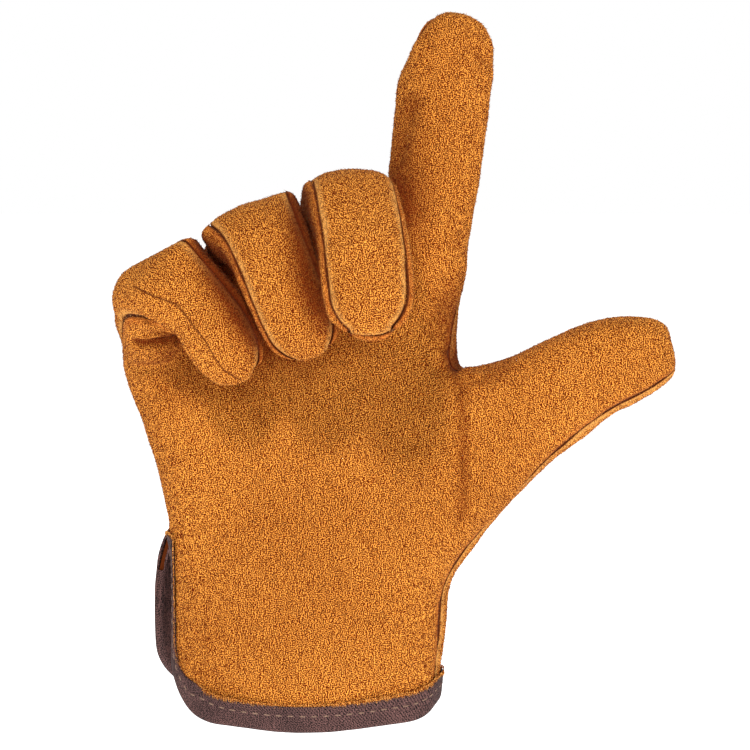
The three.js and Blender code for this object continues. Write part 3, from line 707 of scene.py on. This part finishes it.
def twisted_thread(name, light, dark):
    """Sewing thread: two twisted plies show as fine light and dark spots."""
    material, node, shade = new_material(name)
    place = node("ShaderNodeTexCoord").outputs["Object"]
    twist = node("ShaderNodeTexNoise", Vector=place, Scale=2600.0, Detail=2.0)
    bump = node("ShaderNodeBump", Strength=0.5, Distance=0.0002, Height=twist.outputs["Fac"])
    shade(Base_Color=ramp(node, twist.outputs["Fac"], [(0.4, dark), (0.6, light)]),
          Normal=bump.outputs["Normal"], Roughness=0.7)
    return material


gold_thread = twisted_thread("golden_thread", THREAD_GOLD, THREAD_GOLD_SHADE)


def rims_of(piece):
    """Each sewn edge of a hide as a row of points, with the hide's outward direction and the way off its edge.
    The hem and the slit, which the tape covers, are left out."""
    hide = bmesh.new()
    hide.from_mesh(piece.data)
    hide.normal_update()
    after = {}
    for edge in hide.edges:
        if edge.is_boundary:
            loop = edge.link_loops[0]
            after[loop.vert] = loop.link_loop_next.vert
    rims = []
    while after:
        start = next(iter(after))
        rim = [start]
        while after[rim[-1]] is not start:
            rim.append(after.pop(rim[-1]))
        after.pop(rim[-1])
        places = np.array([v.co for v in rim])
        ups = np.array([v.normal for v in rim])
        runs = np.roll(places, -1, axis=0) - np.roll(places, 1, axis=0)
        offs = unit(np.cross(runs, ups))
        taped = (places[:, 2] < TAPED_HEM) | ((places[:, 2] < TAPED_SLIT) & (places[:, 0] < TAPED_SIDE))
        if not taped.any():
            closed = [np.concatenate([row, row[:1]]) for row in (places, ups, offs)]
            rims.append(tuple(closed))
            continue
        turn = int(np.flatnonzero(taped)[0])
        rows = [np.roll(row, -turn, axis=0) for row in (places, ups, offs)]
        taped = np.roll(taped, -turn)
        ends = np.flatnonzero(np.diff(taped.astype(int)))
        for first, last in zip(ends, list(ends[1:]) + [len(rim) - 1]):
            if not taped[first + 1] and last - first > SHORTEST_RIM:
                rims.append(tuple(row[first + 1:last + 1] for row in rows))
    hide.free()
    return rims


def sew_welt(name, rims):
    """A soft roll of turned hide behind each sewn edge, closed at its ends."""
    points = []
    faces = []
    for places, ups, offs in rims:
        first = len(points)
        count = len(places)
        middle = places + offs * SEAM_HALF - ups * WELT_DEPTH
        for turn in range(WELT_SMOOTHING):
            middle[1:-1] = (middle[:-2] + 2 * middle[1:-1] + middle[2:]) / 4
            ups = np.concatenate([ups[:1], (ups[:-2] + 2 * ups[1:-1] + ups[2:]) / 4, ups[-1:]])
            offs = np.concatenate([offs[:1], (offs[:-2] + 2 * offs[1:-1] + offs[2:]) / 4, offs[-1:]])
        for turn in range(WELT_SIDES):
            angle = turn * 2 * math.pi / WELT_SIDES
            ring = middle + (offs * math.cos(angle) + ups * math.sin(angle)) * WELT_RADIUS
            points += ring.tolist()
        for turn in range(WELT_SIDES):
            here = first + turn * count
            beside = first + (turn + 1) % WELT_SIDES * count
            for step in range(count - 1):
                faces.append((here + step, here + step + 1, beside + step + 1, beside + step))
        faces.append([first + turn * count for turn in range(WELT_SIDES)])
        faces.append([first + turn * count + count - 1 for turn in range(WELT_SIDES)])
    mesh = bpy.data.meshes.new(name)
    mesh.from_pydata(points, [], faces)
    mesh.materials.append(welt_hide)
    welt = add_piece(name, mesh)
    bpy.ops.object.mode_set(mode="EDIT")
    bpy.ops.mesh.select_all(action="SELECT")
    bpy.ops.mesh.normals_make_consistent(inside=False)
    bpy.ops.object.mode_set(mode="OBJECT")
    bpy.ops.object.shade_smooth_by_angle(angle=math.radians(60))
    carry(welt, "hide")


# a stitch's form: how blunt its ends are, how far they sink in widths of thread, and how flat the thread lies
STITCH_BLUNTNESS = 0.7
STITCH_SAG = 0.9
STITCH_FLATNESS = 0.8


def lay_stitches(name, thread, material_slot, places, alongs, ups, length, width):
    """Copies of one stitch: a short thread, thick in the middle, whose two ends go down into cloth or hide."""
    bpy.ops.object.select_all(action="DESELECT")
    bpy.ops.mesh.primitive_uv_sphere_add(segments=8, ring_count=6, radius=0.5)
    model = bpy.context.object
    shape = points_of(model.data)
    # A new sphere's points and faces are in another order on each run, so they are sorted by their places.
    order = np.lexsort(np.round(shape * 1000).T)
    rank = np.argsort(order)
    shape = shape[order]
    facets = []
    for face in model.data.polygons:
        corners = [int(rank[v]) for v in face.vertices]
        first = corners.index(min(corners))
        facets.append(corners[first:] + corners[:first])
    facets.sort()
    bpy.data.objects.remove(model)
    shape = np.column_stack([shape[:, 2], shape[:, 0], shape[:, 1]])
    shape[:, 0] = np.sign(shape[:, 0]) * 0.5 * (np.abs(shape[:, 0]) * 2) ** STITCH_BLUNTNESS
    sag = (shape[:, 0] * 2) ** 4 * STITCH_SAG
    sides = np.cross(ups, alongs)
    points = (places[:, None] + alongs[:, None] * (shape[None, :, 0:1] * length)
              + sides[:, None] * (shape[None, :, 1:2] * width)
              + ups[:, None] * ((shape[None, :, 2:3] * STITCH_FLATNESS - sag[None, :, None]) * width))
    faces = [[v + turn * len(shape) for v in facet] for turn in range(len(places)) for facet in facets]
    mesh = bpy.data.meshes.new(name)
    mesh.from_pydata(points.reshape(-1, 3).tolist(), [], faces)
    mesh.materials.append(thread)
    row = add_piece(name, mesh)
    bpy.ops.object.shade_smooth()
    carry(row, material_slot)


def sew_seam(name, rims):
    """Bits of thread across the seam, where it opens a little."""
    random = np.random.default_rng(61)
    middles, alongs, outs = [], [], []
    for places, ups, offs in rims:
        reach = lengths_along(places)
        for stop in np.arange(SEAM_THREAD_PITCH, reach[-1], SEAM_THREAD_PITCH):
            index = int(np.searchsorted(reach, stop))
            along = offs[index] + np.cross(ups[index], offs[index]) * random.uniform(0.15, 0.6)
            middles.append(places[index] + offs[index] * SEAM_HALF - ups[index] * SEAM_THREAD_DEPTH)
            alongs.append(along / np.linalg.norm(along))
            outs.append(ups[index])
    lay_stitches(name, gold_thread, "hide", np.array(middles), np.array(alongs), np.array(outs),
                 SEAM_THREAD_LENGTH, SEAM_THREAD_WIDTH)


palm_rims = rims_of(palm)
sew_welt("welt_of_palm", palm_rims)
sew_welt("welt_of_back", rims_of(back))
sew_seam("seam_thread", palm_rims)

# Nap: the raised fibres of the hide's split side, brushed up when it was dressed. Each is a closed spike of
# four faces with its root just under the surface, and they lean over the hide in tufts.
HIDE_FIBRES = 48000
STRIP_FIBRES = 3000
FIBRE_LENGTH = 0.0013
FIBRE_WIDTH = 0.00026
FIBRE_ROOT = 0.0001
TUFT_SIZE = 0.006
TUFT_WAVES = 5
STRAY_LEAN = 1.6
NAP_PALE = (1.0, 0.48, 0.12, 1)
NAP_LIGHT = (0.72, 0.225, 0.022, 1)
NAP_MID = (0.36, 0.08, 0.004, 1)
NAP_DARK = (0.12, 0.012, 0.0003, 1)

nap_fibre, node, shade = new_material("nap_fibre")
# each fibre's tone: random, lowered by painted shade where it stands in the folds of the fist
tone = node("ShaderNodeAttribute", {"attribute_name": "tone"})
mixed = node("ShaderNodeMath", {"operation": "MULTIPLY_ADD"}, i0=curled_grain(node), i1=0.8,
             i2=tone.outputs["Fac"])
fibre_colour = ramp(node, mixed.outputs["Value"],
                    [(0.05, NAP_DARK), (0.6, NAP_MID), (0.85, NAP_LIGHT), (1.0, NAP_PALE)])
toned = node("ShaderNodeMix", {"data_type": "RGBA", "blend_type": "MULTIPLY"}, Factor=1.0, i6=fibre_colour,
             i7=broad_tone(node))
shade(Base_Color=toned.outputs[2], Roughness=0.9, Specular_IOR_Level=0.06, Sheen_Weight=0.05,
      Sheen_Tint=(1.0, 0.7, 0.4, 1))


def make_fibres(name, feet, along, side, top, long, half, tones):
    """One spike for each foot, with a tone of its own."""
    count = len(feet)
    spikes = np.stack([feet - side * half, feet + side * half, feet + top * half, feet + along * long], axis=1)
    faces = np.array([[0, 2, 1], [0, 1, 3], [1, 2, 3], [2, 0, 3]])
    faces = (faces[None] + 4 * np.arange(count)[:, None, None]).reshape(-1, 3)
    nap_mesh = bpy.data.meshes.new(name)
    nap_mesh.vertices.add(4 * count)
    nap_mesh.vertices.foreach_set("co", spikes.astype(np.float32).ravel())
    nap_mesh.loops.add(faces.size)
    nap_mesh.loops.foreach_set("vertex_index", faces.astype(np.int32).ravel())
    nap_mesh.polygons.add(len(faces))
    nap_mesh.polygons.foreach_set("loop_start", np.arange(0, faces.size, 3, dtype=np.int32))
    nap_mesh.update(calc_edges=True)
    nap_mesh.validate()
    tone = nap_mesh.attributes.new("tone", "FLOAT", "POINT")
    tone.data.foreach_set("value", np.repeat(tones, 4).astype(np.float32))
    nap_mesh.materials.append(nap_fibre)
    carry(add_piece(name, nap_mesh), "hide")


def raise_nap(name, hide, count, seed):
    """Fibres spread evenly over a hide: roots a little under its surface, tips leaning over it."""
    random = np.random.default_rng(seed)
    mesh = hide.data
    mesh.calc_loop_triangles()
    corners = np.empty(len(mesh.loop_triangles) * 3, np.int32)
    mesh.loop_triangles.foreach_get("vertices", corners)
    corners = corners.reshape(-1, 3)
    places = points_of(mesh)
    directions = normals_of(mesh)
    a, b, c = (places[corners[:, k]] for k in range(3))
    area = np.linalg.norm(np.cross(b - a, c - a), axis=1)
    chosen = random.choice(len(corners), size=count, p=area / area.sum())
    share = random.random((count, 2))
    folded = share.sum(axis=1) > 1
    share[folded] = 1 - share[folded]
    weights = np.column_stack([1 - share.sum(axis=1), share])
    root = (places[corners[chosen]] * weights[:, :, None]).sum(axis=1)
    up = unit((directions[corners[chosen]] * weights[:, :, None]).sum(axis=1))
    lean = np.zeros((count, 3))
    for turn in range(TUFT_WAVES):
        wave = random.normal(size=3) * 2 * math.pi / TUFT_SIZE
        lean += np.sin(root @ wave + random.uniform(0, 6.3))[:, None] * random.normal(size=3)
    lean += random.normal(size=(count, 3)) * STRAY_LEAN
    lean = unit(lean - up * (lean * up).sum(axis=1)[:, None])
    rise = random.uniform(0.1, 0.5, count)[:, None]
    along = lean * np.sqrt(1 - rise ** 2) + up * rise
    side = unit(np.cross(along, up))
    top = np.cross(side, along)
    long = FIBRE_LENGTH * random.uniform(0.45, 1.15, count)[:, None]
    half = FIBRE_WIDTH * random.uniform(0.35, 0.7, count)[:, None]
    # fibres in the folds of the fist and in narrow creases are darker too: painted shade
    depth = (read_values(hide, "hollow")[corners[chosen]] * weights).sum(axis=1)
    tones = random.uniform(0.0, 0.2, count) - np.clip(depth - 0.06, 0, 0.6) * 1.3
    make_fibres(name, root - up * FIBRE_ROOT, along, side, top, long, half, tones)


raise_nap("nap_of_palm", palm, HIDE_FIBRES, 51)
raise_nap("nap_of_back", back, HIDE_FIBRES, 52)
for turn, fingers in enumerate(STRIP_PLACES):
    raise_nap("nap_of_strip_" + fingers, strips[turn], STRIP_FIBRES, 53 + turn)
for piece in hides:
    give_thickness(piece)

# Cuff binding: one woven twill tape of cotton, folded over the hem and on up both edges of the side slit. It
# holds the raw edge of the hide between its two halves.
TAPE_THICKNESS = 0.0008
TAPE_WIDTH = 0.0093
TAPE_FOLD = 0.0037
TAPE_BULGE = 0.0006
TAPE_ROUND = 0.00022
TAPE_LIGHT = (0.175, 0.085, 0.077, 1)
TAPE_DARK = (0.004, 0.001, 0.001, 1)
# how far the tape stays from the hide, and how near it has to be for that to count; in metres
TAPE_CLEARANCE = 0.00098
TAPE_TOUCH = 0.0012
PUSH_EVENING = 4
# corner of the slit, in millimetres, and how far round it the tape is bunched, and by how much, in metres
SLIT_CORNER = (-42, -15, 12)
BUNCH_REACH = 8
BUNCHED_EDGE = (0.0024, 0.0, 0.0022)
BUNCHED_MIDDLE = (0.0012, 0.0, 0.0011)
# where the section's seven points lie across the tape, as shares of its width
ACROSS = (0.0, 0.5, 0.95, 1.1, 1.25, 1.7, 2.2)


def tape_rows():
    """Outer side of the tape's node as ordered rows of points: fold, middle and upper edge, with the outward
    directions there."""
    tape = bmesh.new()
    tape.from_mesh(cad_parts["cuff_binding"].data)
    bmesh.ops.remove_doubles(tape, verts=tape.verts, dist=MERGE_GAP)
    tape.normal_update()
    layers = patches_of(tape.faces, math.radians(50))
    # Both broad sides are such layers; the outer one faces away from the middle of the cuff.
    facing = [sum(math.copysign(f.calc_area(), f.normal.xy.dot(f.calc_center_median().xy)) for f in layer)
              for layer in layers]
    outer = dict.fromkeys(layers[facing.index(max(facing))])
    rim = {}
    for face in outer:
        for loop in face.loops:
            if not all(other in outer for other in loop.edge.link_faces):
                rim[loop.vert] = loop.link_loop_next.vert
    start = next(iter(rim))
    ring = [start]
    while rim[ring[-1]] is not start:
        ring.append(rim[ring[-1]])
    # The ring runs along the low edge, over one end, back along the high edge and over the other end. Where
    # the low edge starts is found by trying: there the two edges lie nearest to each other.
    steps = (len(ring) - 2) // 2
    best = None
    for turn in range(len(ring)):
        turned = ring[turn:] + ring[:turn]
        low = turned[:steps]
        high = turned[steps + 1:-1][::-1]
        apart = sum((a.co - b.co).length for a, b in zip(low, high)) / steps
        lowness = sum(v.co.z for v in low) / steps
        if best is None or (apart + lowness, turn) < best[:2]:
            best = (apart + lowness, turn, turned)
    ring = best[2]
    low = ring[:steps]
    high = ring[steps + 1:-1][::-1]
    inside = {v for face in outer for v in face.verts} - set(ring)
    ends = {0: ring[-1], steps - 1: ring[steps]}
    middle = []
    for k, (a, b) in enumerate(zip(low, high)):
        centre = (a.co + b.co) / 2
        middle.append(ends.get(k) or min(inside, key=lambda v: (v.co - centre).length))
    outward = {v: sum((f.normal for f in v.link_faces if f in outer), Vector()).normalized() for v in ring}
    outward |= {v: v.normal.copy() for v in inside}
    rows = [np.array([v.co for v in row]) for row in (low, middle, high)]
    ups = [np.array([outward[v] for v in row]) for row in (low, middle, high)]
    tape.free()
    return rows, ups


rows, ups = tape_rows()
rows = [settle(row) for row in rows]
low, middle, high = rows
# Round the corner of the slit the tape is bunched, and its upper edge lies further in.
corner = np.exp(-(np.linalg.norm(high * 1000 - SLIT_CORNER, axis=1) / BUNCH_REACH) ** 2)
high += corner[:, None] * np.array(BUNCHED_EDGE)
middle += corner[:, None] * np.array(BUNCHED_MIDDLE)
down = unit(low - middle)
inner = [row - up * TAPE_FOLD for row, up in zip(rows, ups)]
fold = (low + inner[0]) / 2 + down * TAPE_BULGE
section = [high, middle, low, fold, inner[0], inner[1], inner[2]]
grid = np.stack(section, axis=1)
steps, wide = grid.shape[:2]
lengths = lengths_along(middle)
tape_mesh = bpy.data.meshes.new("cuff_tape")
quads = []
for i in range(steps - 1):
    for k in range(wide - 1):
        here = i * wide + k
        quads.append((here, here + 1, here + wide + 1, here + wide))
tape_mesh.from_pydata(grid.reshape(-1, 3).tolist(), [], quads)
tape_map = tape_mesh.uv_layers.new(name="tape")
for loop in tape_mesh.loops:
    i, k = divmod(loop.vertex_index, wide)
    tape_map.data[loop.index].uv = (lengths[i], ACROSS[k] * TAPE_WIDTH)
binding = add_piece("cuff_tape", tape_mesh)
tape_mesh.update()
edge_faces = range(0, len(quads), wide - 1)
outward = np.mean([tape_mesh.polygons[j].normal.dot(Vector(ups[1][j // (wide - 1)])) for j in edge_faces])
if outward < 0:
    tape_mesh.flip_normals()
finish_with(binding, "SUBSURF", levels=2, render_levels=2)
hem_skin = skin_of([palm, back])
places = points_of(binding.data)
push = np.zeros_like(places)
for index, place in enumerate(places):
    near, facing, face, gap = hem_skin.find_nearest(Vector(place))
    clear = (Vector(place) - near).dot(facing)
    if clear < TAPE_CLEARANCE and gap < TAPE_TOUCH:
        push[index] = near + facing * TAPE_CLEARANCE - Vector(place)
move_points(binding.data, places + even_out(binding, push, PUSH_EVENING))
finish_with(binding, "SOLIDIFY", thickness=TAPE_THICKNESS, offset=-1.0, use_rim=True)
finish_with(binding, "BEVEL", width=TAPE_ROUND, segments=2, limit_method="ANGLE", angle_limit=math.radians(60))
choose(binding)
bpy.ops.object.shade_smooth()

twill, node, shade = new_material("woven_twill")
strip_map = node("ShaderNodeUVMap", {"uv_map": "tape"}).outputs["UV"]
turned = node("ShaderNodeMapping", Vector=strip_map, Rotation=(0, 0, math.radians(32)))
rib = node("ShaderNodeTexWave", Vector=turned.outputs["Vector"], Scale=340.0, Distortion=0.6, Detail=1.0)
yarn = node("ShaderNodeTexWave", {"bands_direction": "Y"}, Vector=strip_map, Scale=900.0, Distortion=1.0)
place = node("ShaderNodeTexCoord").outputs["Object"]
worn = node("ShaderNodeTexNoise", Vector=place, Scale=90.0, Detail=4.0)
weave = node("ShaderNodeMath", {"operation": "MULTIPLY_ADD"}, i0=yarn.outputs["Fac"], i1=0.35,
             i2=rib.outputs["Fac"])
mixed = node("ShaderNodeMath", {"operation": "MULTIPLY_ADD"}, i0=curled_grain(node), i1=1.2,
             i2=weave.outputs["Value"])
share = node("ShaderNodeMath", {"operation": "DIVIDE"}, i0=mixed.outputs["Value"], i1=2.5)
tape_colour = ramp(node, share.outputs["Value"], [(0.3, TAPE_DARK), (0.72, TAPE_LIGHT)])
worn_tone = ramp(node, worn.outputs["Fac"], [(0.35, (0.78, 0.76, 0.76, 1)), (0.65, (1.15, 1.12, 1.1, 1))])
toned = node("ShaderNodeMix", {"data_type": "RGBA", "blend_type": "MULTIPLY"}, Factor=1.0, i6=tape_colour,
             i7=worn_tone)
bump = node("ShaderNodeBump", Strength=0.6, Distance=0.0003, Height=share.outputs["Value"])
shade(Base_Color=toned.outputs[2], Normal=bump.outputs["Normal"], Roughness=0.85, Specular_IOR_Level=0.25)
binding.data.materials.append(twill)
carry(binding, "tape", "cuff_binding")

# Binding stitches: one row of running stitches in tan thread, through the tape, the hide and the tape behind
# it. It shows outside and inside the cuff.
STITCH_HEIGHT = 0.0012
STITCH_STEP = 0.001
STITCH_PITCH = 0.004
STITCH_LENGTH = 0.0028
THREAD_WIDTH = 0.00055
STITCH_ROW = 0.37
THREAD_TAN = (0.3, 0.18, 0.12, 1)
THREAD_SHADE = (0.16, 0.085, 0.055, 1)

tan_thread = twisted_thread("tan_thread", THREAD_TAN, THREAD_SHADE)
tape_skin = skin_of([binding])
for name, height in (("stitches_outside", STITCH_HEIGHT), ("stitches_inside", -TAPE_FOLD - STITCH_HEIGHT)):
    path = high + (low - high) * STITCH_ROW + ups[1] * height
    reach = lengths_along(path)
    stops = np.arange(STITCH_PITCH, reach[-1] - STITCH_PITCH, STITCH_PITCH)
    beside = stops[:, None] + np.array([-STITCH_STEP, 0.0, STITCH_STEP])
    guide = at_stops(beside.ravel(), reach, path)
    on_tape = [tape_skin.find_nearest(Vector(point)) for point in guide]
    middles = np.array([hit[0] for hit in on_tape[1::3]])
    outs = np.array([hit[1] for hit in on_tape[1::3]])
    alongs = np.array([b[0] - a[0] for a, b in zip(on_tape[0::3], on_tape[2::3])])
    alongs = unit(alongs - outs * (alongs * outs).sum(axis=1)[:, None])
    lay_stitches(name, tan_thread, "tape", middles, alongs, outs, STITCH_LENGTH, THREAD_WIDTH)

# Overhang: fibres of the nap that the tape's upper edge presses down, so that they lie over it. They are
# longest round the corner of the slit.
OVERHANG_COUNT = 4500
OVERHANG_LONGER = 0.8
OVERHANG_REACH = 16
random = np.random.default_rng(71)
reach = lengths_along(high)
stops = random.uniform(0, reach[-1], OVERHANG_COUNT)
edge = at_stops(stops, reach, high)
out = unit(at_stops(stops, reach, ups[2]))
fall = at_stops(stops, reach, down)
run = np.cross(out, fall)
along = fall + out * random.uniform(0.05, 0.55, OVERHANG_COUNT)[:, None]
along = unit(along + run * random.normal(0, 0.6, OVERHANG_COUNT)[:, None])
side = unit(np.cross(along, out))
corner = np.exp(-(np.linalg.norm(edge * 1000 - SLIT_CORNER, axis=1) / OVERHANG_REACH) ** 2)[:, None]
long = random.uniform(0.0006, 0.0015, OVERHANG_COUNT)[:, None] * (1 + OVERHANG_LONGER * corner)
half = random.uniform(0.0001, 0.0002, OVERHANG_COUNT)[:, None]
foot = edge - fall * random.uniform(0.0002, 0.0012, OVERHANG_COUNT)[:, None] - out * 2 * FIBRE_ROOT
make_fibres("nap_over_tape", foot, along, side, np.cross(side, along), long, half,
            random.uniform(0.1, 0.5, OVERHANG_COUNT))
